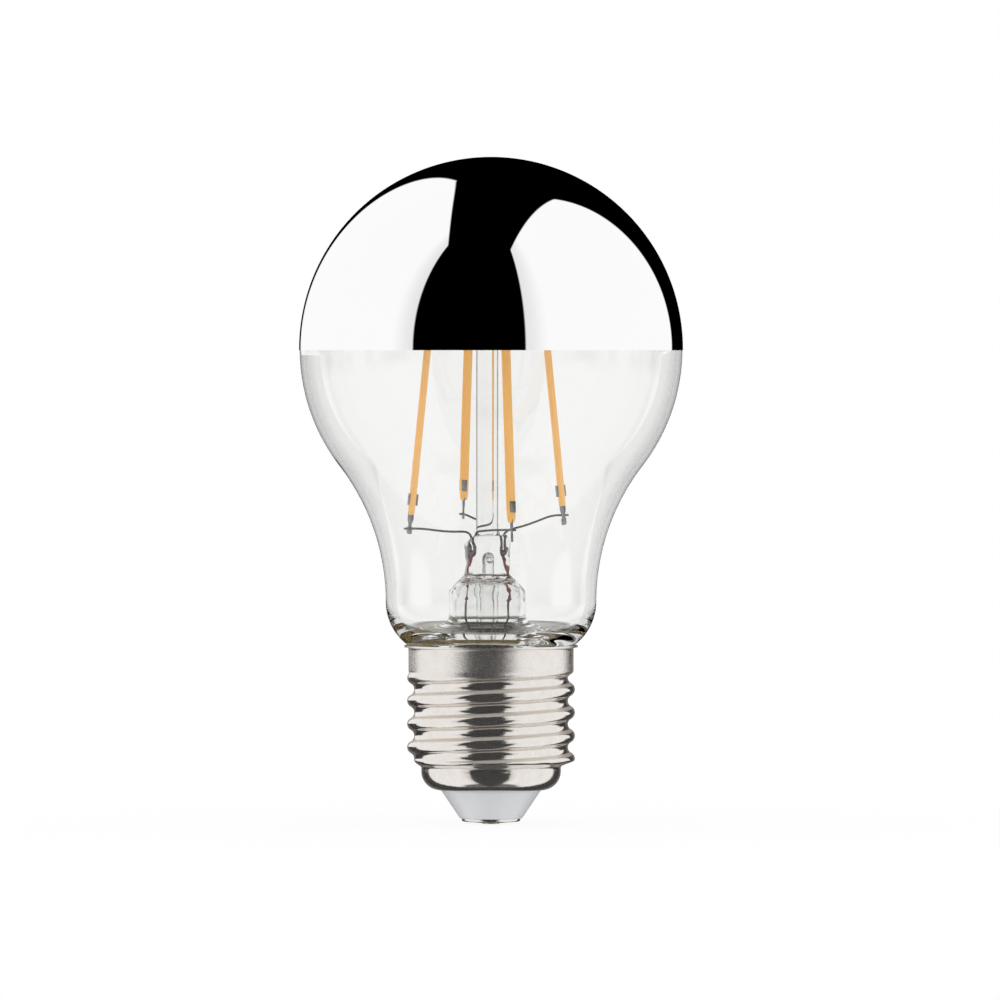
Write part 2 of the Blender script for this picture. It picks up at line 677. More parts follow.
def outer_glass_rings(glass, stem):
    """The outside of the fused glass: bulb, foot, up into the flare and down round the exhaust tube."""
    foot_centre = glass.neck_radius - glass.foot_round
    foot = arc_rings((foot_centre, glass.neck_height), glass.foot_round, 0, -90, 36, skip=1)
    low = glass.neck_height - glass.foot_round
    shifted = []
    for radius, height, _, depth, square, turn in foot:
        move = min(max((foot_centre + 4.0 - radius) / 3.0, 0.0), 1.0)
        shifted.append((radius, height, stem.shift * move, depth, square, turn))
    inner = stem.flare_radius - stem.flare_wall
    funnel = foot_centre - inner
    rings = side_rings(glass, 0.0) + shifted
    rings += arc_rings((foot_centre, low + funnel), funnel, 270, 180, 12, stem.shift, skip=1)
    rings += straight_rings((inner, low + funnel), (inner, stem.shoulder - 0.9), 8, stem.shift)
    top = stem.press_foot - 1.3
    for step in range(1, 15):
        part = step / 14
        ease = math.sin(part * math.pi / 2)
        width = between(inner, HOLLOW_WIDTH, 1 - math.cos(part * math.pi / 2))
        depth = between(inner, HOLLOW_DEPTH, 1 - math.cos(part * math.pi / 2))
        height = stem.shoulder - 0.9 + (top - stem.shoulder + 0.9) * ease
        rings.append(ring(width, height, stem.shift, depth, 2.0 + 1.2 * part, stem.press_turn))
    for step in range(1, 9):
        part = step / 8
        width = between(HOLLOW_WIDTH, stem.tube_radius, part)
        depth = between(HOLLOW_DEPTH, stem.tube_radius, part)
        height = top + 0.25 * math.sin(part * math.pi)
        rings.append(ring(width, height, stem.shift, depth, 3.2 - 1.2 * part, stem.press_turn * (1 - part)))
    round_height = stem.tube_tip + stem.tube_radius
    rings += straight_rings((stem.tube_radius, top), (stem.tube_radius, round_height), 30, stem.shift)
    tip = arc_rings((0, round_height), stem.tube_radius, 0, -90, 10, stem.shift, skip=1)
    tip[-1] = ring(0.0, stem.tube_tip, stem.shift)
    return rings + tip


def inner_glass_rings(glass, stem):
    """The inside of the fused glass: bulb, trough, up round the flare and press, and round the rod and its bead."""
    trough = glass.neck_height - glass.foot_inner_round
    corner = glass.neck_radius - glass.wall - glass.foot_inner_round
    rings = side_rings(glass, glass.wall)
    rings += arc_rings((corner, glass.neck_height), glass.foot_inner_round, 0, -90, 24, skip=1)
    skirt = glass.seal_radius - stem.flare_radius
    for step in range(1, 5):
        part = step / 4
        rings.append(ring(corner + (glass.seal_radius - corner) * part, trough, stem.shift * part))
    rings += arc_rings((glass.seal_radius, trough + skirt), skirt, 270, 180, 16, stem.shift, skip=1)
    rings += straight_rings((stem.flare_radius, trough + skirt), (stem.flare_radius, stem.shoulder), 10, stem.shift)
    half, depth = stem.press_width / 2, stem.press_depth / 2
    for step in range(1, 29):
        part = step / 28
        ease = 0.5 - 0.5 * math.cos(part * math.pi)
        bulge = math.sin(part * math.pi / 2) ** 0.9
        width = stem.flare_radius + (half - stem.flare_radius) * ease
        thick = stem.flare_radius + (depth - stem.flare_radius) * (1 - (1 - ease) ** 1.2)
        height = stem.shoulder + (stem.press_foot + 0.3 - stem.shoulder) * (0.55 * part + 0.45 * bulge)
        rings.append(ring(width, height, stem.shift, thick, 2.0 + 1.6 * ease, stem.press_turn))
    edge = 1.5
    start = stem.press_foot + 0.3
    for step in range(1, 25):
        part = step / 24
        height = start + (stem.press_top - edge - start) * part
        waist = 0.18 * math.sin(part * math.pi)
        rings.append(ring(half + 0.1 * part - waist, height, stem.shift, depth + 0.1 * part, 3.6, stem.press_turn))
    for step in range(1, 13):
        turn = math.radians(90 * step / 12)
        pull = edge * (1 - math.cos(turn))
        height = stem.press_top - edge + edge * math.sin(turn)
        thick = max(depth + 0.1 - pull * 0.55, 1.2)
        rings.append(ring(half + 0.1 - pull, height, stem.shift, thick, 3.6 - 1.6 * step / 12, stem.press_turn))
    last, fillet = rings[-1], 0.55
    for step in range(1, 9):
        part = step / 8
        width, thick = between(last[0], stem.rod_radius, part), between(last[3], stem.rod_radius, part)
        height = stem.press_top + fillet * part**2.2
        rings.append(ring(width, height, stem.shift, thick, 2.0, stem.press_turn * (1 - part)))
    meeting = stem.bead_height - math.sqrt(stem.bead_radius**2 - stem.rod_radius**2)
    rings += straight_rings((stem.rod_radius, stem.press_top + fillet), (stem.rod_radius, meeting), 60, stem.shift)
    turn = math.degrees(math.atan2(meeting - stem.bead_height, stem.rod_radius))
    bead = arc_rings((0, stem.bead_height), stem.bead_radius, turn, 90, 24, stem.shift, skip=1)
    bead[-1] = ring(0.0, stem.bead_height + stem.bead_radius, stem.shift)
    return rings + bead


def press_lumps(stem):
    """Moves a point of the squeezed glass in and out a little, as hand-worked glass is, and tilts the press's top."""
    low, high = stem.shoulder - 1.0, stem.press_top + 0.8

    def shape(place):
        if not low < place.z < high:
            return place
        outward = Vector((place.x + stem.shift, place.y, 0))
        if not stem.rod_radius * 0.98 < outward.length < stem.flare_radius + 1.5:
            return place
        strength = math.sin((place.z - low) / (high - low) * math.pi) ** 0.6
        near_rod = min(max((outward.length - stem.rod_radius) / 1.2, 0.0), 1.0)
        swell = noise.noise(place * 0.55 + Vector((SEED, 0, 0))) + 0.45 * noise.noise(place * 1.3)
        tilt = 0.0
        if place.z > stem.press_foot + 3.0:
            tilt = outward.x * 0.16 * near_rod * (place.z - stem.press_foot - 3.0) / 3.3
        moved = place + outward.normalized() * swell * stem.lumps * 1.8 * strength * near_rod
        return moved + Vector((0, 0, tilt))

    return shape


def exhaust_bore(work, stem):
    """The closed air channel inside the exhaust tube, and the short port through the press's face."""
    low = stem.tube_tip + 2 * stem.tube_radius
    top = 42.6 - stem.bore_radius
    rings = arc_rings((0, low), stem.bore_radius, -90, 0, 8, stem.shift)
    rings[0] = ring(0.0, low - stem.bore_radius, stem.shift)
    rings += straight_rings((stem.bore_radius, low), (stem.bore_radius, top), 24, stem.shift)
    end = arc_rings((0, top), stem.bore_radius, 0, 90, 8, stem.shift, skip=1)
    end[-1] = ring(0.0, top + stem.bore_radius, stem.shift)
    skin(work, rings + end, 48, hollow=True)
    port = bmesh.ops.create_uvsphere(work, u_segments=24, v_segments=12, radius=0.72)["verts"]
    bmesh.ops.scale(work, vec=(1.0, 0.72, 1.0), verts=port)
    turn = stem.press_turn
    place = Vector((math.sin(turn), -math.cos(turn), 0)) * 1.5 + Vector((-stem.shift, 0, 41.5))
    bmesh.ops.rotate(work, matrix=Matrix.Rotation(turn, 3, "Z"), verts=port)
    bmesh.ops.translate(work, vec=place, verts=port)
    bmesh.ops.reverse_faces(work, faces=list({face for vert in port for face in vert.link_faces}))


class LAMP_OT_glass(bpy.types.Operator):
    """Blows the bulb and fuses the flare, press, exhaust tube and support rod into it"""

    bl_idname = "lamp.glass"
    bl_label = "Glass"

    def execute(self, context):
        glass, stem = sizes("lamp_glass"), sizes("lamp_stem")
        work = bmesh.new()
        skin(work, outer_glass_rings(glass, stem), 160)
        skin(work, inner_glass_rings(glass, stem), 160, hollow=True, shape=press_lumps(stem))
        exhaust_bore(work, stem)
        piece = finish_mesh("fused_glass", work, clear_glass())
        settle(piece, "clear_glass", "glass_bulb", "stem_flare", "exhaust_tube", "support_rod")
        return {"FINISHED"}


class LAMP_OT_mirror(bpy.types.Operator):
    """Silvers the crown down to its level edge"""

    bl_idname = "lamp.mirror"
    bl_label = "Mirror crown"

    def execute(self, context):
        glass = sizes("lamp_glass")
        inside = glass.crown_radius + glass.mirror_gap
        outside = inside + glass.mirror_skin
        turn = math.degrees(math.asin((glass.mirror_edge - glass.crown_height) / outside))
        work = bmesh.new()
        rings = arc_rings((0, glass.crown_height), inside, 90, turn, 96)
        rings[0] = ring(0.0, glass.crown_height + inside)
        back = arc_rings((0, glass.crown_height), outside, turn, 90, 96)
        back[-1] = ring(0.0, glass.crown_height + outside)
        skin(work, rings + back, 192)
        piece = finish_mesh("mirror_crown", work, silver(), sharp=60)
        settle(piece, "silver_mirror", "mirror_coating")
        return {"FINISHED"}


# Light strips and their tabs


def strip_place(strips, stem, name):
    """The matrix from a strip's own axes (outward, round, up) to the lamp, in millimetres."""
    _, degrees, foot, _ = next(row for row in STRIPS if row[0] == name)
    turn = Matrix.Rotation(math.radians(degrees), 4, "Z")
    lean = Matrix.Rotation(-strips.lean, 4, "Y")
    return Matrix.Translation((-stem.shift, 0, 0)) @ turn @ Matrix.Translation((strips.foot_radius, 0, foot)) @ lean


def strip_mesh(strips):
    """One coated strip: a soft rounded bar whose ends round off."""
    work = bmesh.new()
    rows = []
    steps = 60
    for step in range(steps + 1):
        part = step / steps
        height = strips.strip_length * (0.5 - 0.5 * math.cos(part * math.pi))
        from_end = min(height, strips.strip_length - height)
        taper = min(from_end / 2.3, 1.0)
        swell = math.sqrt(max(1 - (1 - taper) ** 2, 0.0))
        wide = strips.strip_width / 2 * (0.62 + 0.38 * swell)
        thick = strips.strip_depth / 2 * (0.86 + 0.14 * swell)
        rows.append((thick, height, wide))
    # The end faces stand a little proud and are narrower than the bar
    proud, narrow = 0.02, 0.8
    foot, head = [
        ring(thick * narrow, height + out, 0, wide * narrow, 3.2)
        for (thick, height, wide), out in ((rows[0], -proud), (rows[-1], proud))
    ]
    rings = [ring(0.0, -proud), foot]
    rings += [ring(thick, height, 0, wide, 3.0) for thick, height, wide in rows]
    rings += [head, ring(0.0, rows[-1][1] + proud)]
    skin(work, rings, 28)
    return work


def prism(work, low, high):
    """Joins two outlines of as many points into a closed solid."""
    work.faces.new(low)
    work.faces.new(list(reversed(high)))
    for index in range(len(low)):
        after = (index + 1) % len(low)
        work.faces.new([low[index], high[index], high[after], low[after]])


def tab_mesh():
    """One stamped tab: blade, tapered neck, foot, and the crimp folded round the strip's end."""
    work = bmesh.new()
    half = 0.1
    outline = [
        (-0.47, 1.5), (-0.47, -0.75), (-0.25, -1.5), (-0.25, -1.75), (-0.33, -1.95), (-0.42, -2.2), (-0.42, -3.0),
        (-0.30, -3.08), (0.24, -3.05), (0.40, -2.9), (0.42, -2.2), (0.33, -1.95), (0.25, -1.75), (0.25, -1.5),
        (0.47, -0.75), (0.47, 1.5),
    ]
    front = [work.verts.new((x, -half, z)) for x, z in outline]
    prism(work, front, [work.verts.new((x, half, z)) for x, z in outline])
    clip = [
        (-0.74, 0.56), (-0.74, -0.2), (-0.62, -0.32), (0.62, -0.32), (0.74, -0.2), (0.74, 0.56), (0.56, 0.56),
        (0.56, -0.14), (-0.56, -0.14), (-0.56, 0.56),
    ]
    clip_low, clip_high = 1.5, 3.3
    low = [work.verts.new((x, y, clip_low)) for x, y in clip]
    prism(work, low, [work.verts.new((x, y, clip_high)) for x, y in clip])
    bmesh.ops.recalc_face_normals(work, faces=work.faces)
    bmesh.ops.bevel(
        work, geom=list(work.edges), offset=0.045, segments=2, affect="EDGES", profile=0.5, clamp_overlap=True
    )
    return work


def set_out_tree(name, thing, material):
    """Geometry nodes that set a copy of one thing on each point, turned as the point's turn says."""
    tree, start, end = geometry_group(name)
    turn = add(tree, "GeometryNodeInputNamedAttribute", {"Name": "turn"}, data_type="FLOAT_VECTOR")
    source = add(tree, "GeometryNodeObjectInfo", {"Object": thing})
    points, instance, way = start.outputs["Geometry"], source.outputs["Geometry"], turn.outputs["Attribute"]
    copies = add(tree, "GeometryNodeInstanceOnPoints", {"Points": points, "Instance": instance, "Rotation": way})
    paint(tree, end, copies.outputs["Instances"], material)
    return tree


def set_out(name, thing_work, places, material, sharp=None):
    """Copies of one thing at places, each a point in millimetres and a turn, as one plain mesh."""
    thing = finish_mesh(name + "_one", thing_work, material)
    bpy.context.scene.collection.objects.unlink(thing)
    mesh = bpy.data.meshes.new(name + "_points")
    mesh.from_pydata([place * MM for place, _ in places], [], [])
    turns = mesh.attributes.new("turn", "FLOAT_VECTOR", "POINT")
    for index, (_, turn) in enumerate(places):
        turns.data[index].vector = turn
    points = bpy.data.objects.new(name + "_points", mesh)
    bpy.context.scene.collection.objects.link(points)
    modifier = points.modifiers.new("Set out", "NODES")
    modifier.node_group = set_out_tree(name + "_set_out", thing, material)
    made = plain_mesh(points, name, material, sharp)
    bpy.data.objects.remove(thing)
    return made


class LAMP_OT_strips(bpy.types.Operator):
    """Sets the four coated light strips round the stem, with a stamped tab at each end"""

    bl_idname = "lamp.strips"
    bl_label = "Light strips"

    def execute(self, context):
        strips, stem = sizes("lamp_strips"), sizes("lamp_stem")
        feet, tabs = [], []
        for name, degrees, _, _ in STRIPS:
            place = strip_place(strips, stem, name)
            turn = Vector((0, -strips.lean, math.radians(degrees)))
            foot = (place @ Vector((0, 0, 0)), turn)
            feet.append(foot)
            tabs.append(foot)
            over = Vector((0, math.pi - strips.lean, math.radians(degrees)))
            tabs.append((place @ Vector((0, 0, strips.strip_length)), over))
        bars = set_out("light_strips", strip_mesh(strips), feet, phosphor())
        settle(bars, "phosphor_coat", *["light_strip_" + row[0] for row in STRIPS])
        clips = set_out("strip_tabs", tab_mesh(), tabs, tab_nickel(), sharp=40)
        nodes = [end + "_tab_" + row[0] for row in STRIPS for end in ("lower", "upper")]
        settle(clips, "nickel_tab", *nodes)
        return {"FINISHED"}


# Wires


def press_point(stem, x, height):
    """A point in the middle plane of the press."""
    return Vector((x * math.cos(stem.press_turn) - stem.shift, x * math.sin(stem.press_turn), height))


def fork_place(wires, side, fork):
    return side * wires.lead_spacing / 2 + fork * wires.lead_fork / 2


def support_path(wires, strips, stem, name):
    """The path of one support wire, from its weld in the press to its strip's lower tab."""
    side = -1 if name in ("left", "front") else 1
    fork = side if name in ("left", "right") else -side
    drop = next(row[3] for row in STRIPS if row[0] == name)
    place = strip_place(strips, stem, name)
    beside = 0.1 + wires.wire_radius
    end = place @ Vector((0.9, beside, -drop))
    near = place @ Vector((-1.8, beside, -drop))
    end.z = near.z = (place @ Vector((0, beside, -drop))).z
    knee = press_point(stem, fork_place(wires, side, fork), stem.press_top + 0.6)
    middle = knee.lerp(near, 0.5) + Vector((0, 0, -0.25 if name in ("left", "right") else 0.1))
    return [press_point(stem, fork_place(wires, side, fork), wires.weld_height), knee, middle, near, end]


class LAMP_OT_wires(bpy.types.Operator):
    """Bends the support wires, the top wires, the copper clad seal wires and the outer leads"""

    bl_idname = "lamp.wires"
    bl_label = "Wires and leads"

    def execute(self, context):
        wires, strips, stem = sizes("lamp_wires"), sizes("lamp_strips"), sizes("lamp_stem")
        glass = sizes("lamp_glass")
        work = bmesh.new()
        for row in STRIPS:
            path = support_path(wires, strips, stem, row[0])
            wire(work, path, wires.wire_radius, 1.5)
            weld = path[-1].lerp(path[-2], 0.34)
            ball(work, weld, 0.26, 0.8)
        for side in (-1, 1):
            ball(work, press_point(stem, side * wires.lead_spacing / 2, wires.weld_height), 0.40, 1.25)
        piece = finish_mesh("support_wires", work, wire_nickel())
        settle(piece, "nickel_wire", *["support_wire_" + row[0] for row in STRIPS])
        self.top_wires(wires, strips, stem)
        self.leads(wires, stem, glass)
        return {"FINISHED"}

    def top_wires(self, wires, strips, stem):
        work = bmesh.new()
        for first, second, shift in (("left", "right", 0.65), ("front", "rear", -0.65)):
            ends = []
            for name, sign in ((first, 1), (second, -1)):
                rows = {row[0]: row for row in STRIPS}
                half_rise = (rows[second][2] - rows[first][2]) / 2
                height = stem.bead_height + shift - sign * half_rise
                along = (height - rows[name][2]) / math.cos(strips.lean)
                beside = sign * (0.1 + wires.wire_radius)
                ends.append(strip_place(strips, stem, name) @ Vector((0, beside, along)))
            run = (ends[1] - ends[0]).normalized() * 0.45
            wire(work, [ends[0] - run, ends[1] + run], wires.wire_radius)
        piece = finish_mesh("top_wires", work, wire_nickel())
        settle(piece, "nickel_wire", "top_wire_left_right", "top_wire_front_rear")

    def leads(self, wires, stem, glass):
        copper, plain = bmesh.new(), bmesh.new()
        low = glass.neck_height - glass.foot_round
        for side in (-1, 1):
            top = press_point(stem, side * wires.lead_spacing / 2, wires.weld_height)
            knee = press_point(stem, side * wires.knee_spacing / 2, wires.knee_height)
            top = top - Vector((0, 0, 0.3))
            bow = top.lerp(knee, 0.55) + Vector((side * 0.12, 0, 0))
            wire(copper, [top, bow, knee], wires.seal_radius, 1.5)
            ball(plain, knee, 0.42, 1.1)
            mouth = press_point(stem, side * wires.knee_spacing / 2, low)
            board = press_point(stem, side * BOARD_HOLE, 12.4)
            foot = press_point(stem, side * BOARD_HOLE, 8.4)
            middle = knee.lerp(mouth, 0.5) + Vector((side * 0.1, 0, 0))
            wire(plain, [knee, middle, mouth, board, foot], wires.wire_radius, 3.0)
        piece = finish_mesh("seal_wires", copper, copper_clad())
        settle(piece, "copper_clad", "seal_wire_left", "seal_wire_right")
        piece = finish_mesh("outer_leads", plain, wire_nickel())
        settle(piece, "nickel_wire", "outer_lead_left", "outer_lead_right")


# The cap


def thread_tree(material):
    """Geometry nodes that roll the thread into a plain turned shell: round crests and roots of one radius that rise
    to the right, and fade into the collar above and the bowl below."""
    numbers = ("Pitch", "Depth", "Crest Radius", "First Crest", "Top", "Foot", "Run In", "Run Out", "Land")
    tree, start, end = geometry_group("Rolled Thread", *numbers, "Collar Radius", "Bowl Radius")
    do, given = partial(sums, tree), start.outputs
    pitch, depth, crest_radius = given["Pitch"], given["Depth"], given["Crest Radius"]
    place = add(tree, "ShaderNodeSeparateXYZ", {0: tree.nodes.new("GeometryNodeInputPosition").outputs[0]})
    turn = do("ARCTAN2", place.outputs["Y"], place.outputs["X"])
    height = place.outputs["Z"]
    rise = do("DIVIDE", do("MULTIPLY", turn, pitch), 2 * math.pi)
    along = do("SUBTRACT", do("SUBTRACT", height, given["First Crest"]), rise)
    half = do("MULTIPLY", pitch, 0.5)
    wrapped = do("FLOORED_MODULO", do("ADD", along, half), pitch)
    from_crest = do("ABSOLUTE", do("SUBTRACT", wrapped, half))
    from_root = do("SUBTRACT", half, from_crest)
    squares = do("ADD", do("MULTIPLY", half, half), do("MULTIPLY", depth, depth))
    bend = do("DIVIDE", squares, do("MULTIPLY", depth, 4.0))

    def round_out(away):
        """How far the round of a crest or root stands out from its centre, at a height away from its middle."""
        return do("SQRT", do("SUBTRACT", do("MULTIPLY", bend, bend), do("MULTIPLY", away, away)))

    crest = do("ADD", do("SUBTRACT", crest_radius, bend), round_out(from_crest))
    root = do("SUBTRACT", do("ADD", do("SUBTRACT", crest_radius, depth), bend), round_out(from_root))
    on_crest = do("LESS_THAN", from_crest, do("MULTIPLY", half, 0.5))

    def blend(factor, first, second):
        return add(tree, "ShaderNodeMix", {"Factor": factor, 2: first, 3: second}, data_type="FLOAT").outputs[0]

    level = blend(on_crest, root, crest)
    top, foot, land = given["Top"], given["Foot"], given["Land"]
    above = ranged(tree, height, do("SUBTRACT", top, given["Run In"]), do("SUBTRACT", top, land))
    level = blend(above, level, given["Collar Radius"])
    below = ranged(tree, height, do("ADD", foot, land), do("ADD", foot, given["Run Out"]), 1.0, 0.0)
    level = blend(below, level, given["Bowl Radius"])
    x, y = (do("MULTIPLY", do(way, turn), level) for way in ("COSINE", "SINE"))
    moved = add(tree, "ShaderNodeCombineXYZ", {"X": x, "Y": y, "Z": height}).outputs[0]
    zone = do("MULTIPLY", do("GREATER_THAN", height, foot), do("LESS_THAN", height, top))
    rolling = {"Geometry": given["Geometry"], "Selection": zone, "Position": moved}
    rolled = add(tree, "GeometryNodeSetPosition", rolling)
    paint(tree, end, rolled.outputs["Geometry"], material)
    return tree


def set_inputs(modifier, **values):
    """Sets a geometry nodes modifier's inputs by their names, from millimetres."""
    for item in modifier.node_group.interface.items_tree:
        key = item.name.replace(" ", "_")
        if getattr(item, "in_out", "") == "INPUT" and key in values:
            modifier[item.identifier] = values[key] * MM


class LAMP_OT_shell(bpy.types.Operator):
    """Draws the cap's sheet, rolls its thread and bells its mouth"""

    bl_idname = "lamp.shell"
    bl_label = "Threaded shell"

    def execute(self, context):
        cap = sizes("lamp_cap")
        bowl_top = cap.mouth_height + cap.bowl_round
        bowl_radius = cap.mouth_radius + cap.bowl_round
        lip_centre = (cap.collar_radius - cap.sheet + cap.lip_bend, cap.cap_height - cap.lip_bend)
        rings = arc_rings((cap.mouth_radius, bowl_top), cap.bowl_round, -90, 0, 20)
        rings += straight_rings((bowl_radius, bowl_top), (cap.collar_radius, cap.thread_top), 124)
        rings += straight_rings((cap.collar_radius, cap.thread_top), (cap.collar_radius, lip_centre[1]), 12)
        rings += arc_rings(lip_centre, cap.lip_bend - cap.sheet, 180, 90, 6, skip=1)
        under = cap.cap_height - cap.sheet
        rings += straight_rings((lip_centre[0], under), (lip_centre[0] + cap.lip_reach, under), 2)
        work = bmesh.new()
        skin(work, rings, 180, sheet=True)
        metal = nickel()
        base = finish_mesh("cap_sheet", work, metal)
        modifier = base.modifiers.new("Thread", "NODES")
        modifier.node_group = thread_tree(metal)
        set_inputs(
            modifier,
            Pitch=cap.pitch,
            Depth=cap.thread_depth,
            Crest_Radius=cap.crest_radius,
            First_Crest=cap.first_crest,
            Top=cap.thread_top,
            Foot=bowl_top,
            Run_In=cap.run_in,
            Run_Out=cap.run_out,
            Land=cap.land,
            Collar_Radius=cap.collar_radius,
            Bowl_Radius=bowl_radius,
        )
        wall = base.modifiers.new("Sheet", "SOLIDIFY")
        wall.thickness = cap.sheet * MM
        wall.offset = -1.0
        wall.use_quality_normals = True
        piece = plain_mesh(base, "threaded_shell", metal, sharp=50)
        settle(piece, "cap_nickel", "cap_shell")
        return {"FINISHED"}


class LAMP_OT_tip(bpy.types.Operator):
    """Moulds the insulator and sets the dished contact with its solder button"""

    bl_idname = "lamp.tip"
    bl_label = "Insulator and contact"

    def execute(self, context):
        cap = sizes("lamp_cap")
        seat, inner = 0.85, cap.bowl_round - cap.sheet - 0.02
        bowl_top = cap.mouth_height + cap.bowl_round
        work = bmesh.new()
        rings = [ring(1.0, seat), ring(cap.contact_radius, seat)]
        rings += arc_rings((cap.tip_radius - 0.3, seat + 0.3), 0.3, -90, -35, 6)
        cone_foot = (cap.tip_radius - 0.054, seat + 0.128)
        rings += straight_rings(cone_foot, (cap.mouth_radius - 0.28, cap.mouth_height - 0.2), 24)
        rings += arc_rings((cap.mouth_radius - 0.5, cap.mouth_height + 0.12), 0.3, -35, 60, 5)
        rings += arc_rings((cap.mouth_radius - 0.02, bowl_top), inner, -90, -20, 12)
        # The wall, its rim, and the ledge that carries the board
        wall, bore, ledge_bore, rim, ledge = 10.4, 9.4, 8.4, 10.9, 9.0
        rings += [ring(wall, bowl_top), ring(wall, rim), ring(bore, rim), ring(bore, ledge)]
        rings += [ring(ledge_bore, ledge), ring(ledge_bore, bowl_top)]
        rings += [ring(3.0, seat + 1.5), ring(1.0, seat + 1.5)]
        skin(work, rings, 120, closed=True)
        piece = finish_mesh("moulded_insulator", work, insulator_plastic(), sharp=35)
        settle(piece, "insulator_grey", "cap_insulator")

        work = bmesh.new()
        rings = [ring(1.0, seat - 0.02), ring(1.0, 0.15), ring(1.75, 0.15)]
        rings += straight_rings((1.75, 0.15), (4.2, 0.40), 10)
        rings += arc_rings((4.32, 0.63), 0.26, -80, 10, 8)
        rings += [ring(cap.contact_radius - 0.02, seat - 0.02)]
        skin(work, rings, 96, closed=True)
        piece = finish_mesh("contact_plate", work, nickel(), sharp=50)
        settle(piece, "cap_nickel", "centre_contact")

        work = bmesh.new()
        rings = [ring(0.0, 0.0), ring(1.15, 0.0)] + arc_rings((1.2, 0.13), 0.13, -80, 70, 6)
        rings += [ring(0.98, 0.15), ring(0.98, 0.84), ring(0.0, 0.84)]

        def uneven(place):
            if place.z <= 0.01:
                return place
            return place + Vector((place.x, place.y, 0)) * 0.06 * noise.noise(place * 1.4)

        skin(work, rings, 64, shape=uneven)
        solder = plain_finish("solder", (0.42, 0.42, 0.42), (0.66, 0.66, 0.65), 1400.0, 0.34, 1.0)
        piece = finish_mesh("solder_button", work, solder, sharp=50)
        settle(piece, "solder", "contact_solder")
        return {"FINISHED"}


class LAMP_OT_cement(bpy.types.Operator):
    """Fills the ring of baked cement between the collar and the glass foot"""

    bl_idname = "lamp.cement"
    bl_label = "Cement"

    def execute(self, context):
        cap, glass, stem = sizes("lamp_cap"), sizes("lamp_glass"), sizes("lamp_stem")
        foot = (glass.neck_radius - glass.foot_round, glass.neck_height)
        hug = glass.foot_round - 0.04
        inner = cap.collar_radius - cap.sheet - 0.03
        top = cap.cap_height - 0.4
        touch = math.degrees(math.asin((top - foot[1]) / (glass.foot_round + 0.04)))
        lip = glass.seal_radius + 0.1
        low = -math.degrees(math.acos((lip - foot[0]) / hug))
        grip = -math.degrees(math.acos((11.2 - foot[0]) / hug))
        rings = arc_rings(foot, glass.foot_round + 0.04, touch, grip + 0.5, 10)
        rings += arc_rings(foot, hug, grip, low, 14)
        last = rings[-1]
        rings += [ring(lip, last[1] - 0.8), ring(11.6, 22.6), ring(11.6, 24.2)]
        rings += [ring(inner, 24.7), ring(inner, top - 0.3)]
        work = bmesh.new()
        skin(work, rings, 120, closed=True)
        piece = finish_mesh("cement_ring", work, baked_cement(), sharp=40)
        settle(piece, "basing_cement", "cap_cement")
        return {"FINISHED"}


class LAMP_OT_driver(bpy.types.Operator):
    """Paints the driver's pieces, which keep their shapes inside the cap"""

    bl_idname = "lamp.driver"
    bl_label = "Driver"

    def execute(self, context):
        finishes = {
            "driver_board": plain_finish("board_laminate", (0.02, 0.12, 0.045), (0.035, 0.19, 0.07), 1500.0, 0.42),
            "smoothing_capacitor": plain_finish("can_sleeve", (0.02, 0.03, 0.07), (0.035, 0.05, 0.11), 900.0, 0.3),
            "driver_chip": plain_finish("chip_black", (0.012, 0.012, 0.012), (0.03, 0.03, 0.03), 3000.0, 0.55),
            "fuse_resistor": plain_finish("resistor_body", (0.20, 0.24, 0.17), (0.32, 0.37, 0.27), 1800.0, 0.4),
            "shell_lead": wire_nickel(),
        }
        for name, material in finishes.items():
            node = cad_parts[name]
            node.data.materials.clear()
            node.data.materials.append(material)
        return {"FINISHED"}


# The stage


def floor_material(radius):
    """A white floor that fades out, is nearly as bright as the backdrop, and isn't mirrored or seen from below."""
    material = bpy.data.materials.new("pale_floor")
    material.use_nodes = True
    tree = material.node_tree
    tree.nodes.clear()
    place = add(tree, "ShaderNodeTexCoord").outputs["Object"]
    away = add(tree, "ShaderNodeVectorMath", {0: place}, operation="LENGTH").outputs["Value"]
    fade = ranged(tree, away, radius * 0.2, radius)
    speckle = add(tree, "ShaderNodeTexNoise", {"Vector": place, "Scale": 260.0})
    shade = mixed(tree, speckle.outputs["Fac"], (0.93, 0.93, 0.93), (0.95, 0.95, 0.95))
    paint = add(tree, "ShaderNodeBsdfDiffuse", {"Color": shade})
    glow = add(tree, "ShaderNodeEmission", {"Color": (1, 1, 1, 1), "Strength": 1.01})
    bright = add(tree, "ShaderNodeMixShader", {0: 0.88, 1: paint.outputs[0], 2: glow.outputs[0]})
    clear = add(tree, "ShaderNodeBsdfTransparent")
    below = add(tree, "ShaderNodeNewGeometry").outputs["Backfacing"]
    mirrored = add(tree, "ShaderNodeLightPath").outputs["Is Glossy Ray"]
    hidden = sums(tree, "MAXIMUM", sums(tree, "MAXIMUM", fade, below), mirrored)
    both = add(tree, "ShaderNodeMixShader", {0: hidden, 1: bright.outputs[0], 2: clear.outputs[0]})
    add(tree, "ShaderNodeOutputMaterial", {"Surface": both.outputs[0]})
    return material


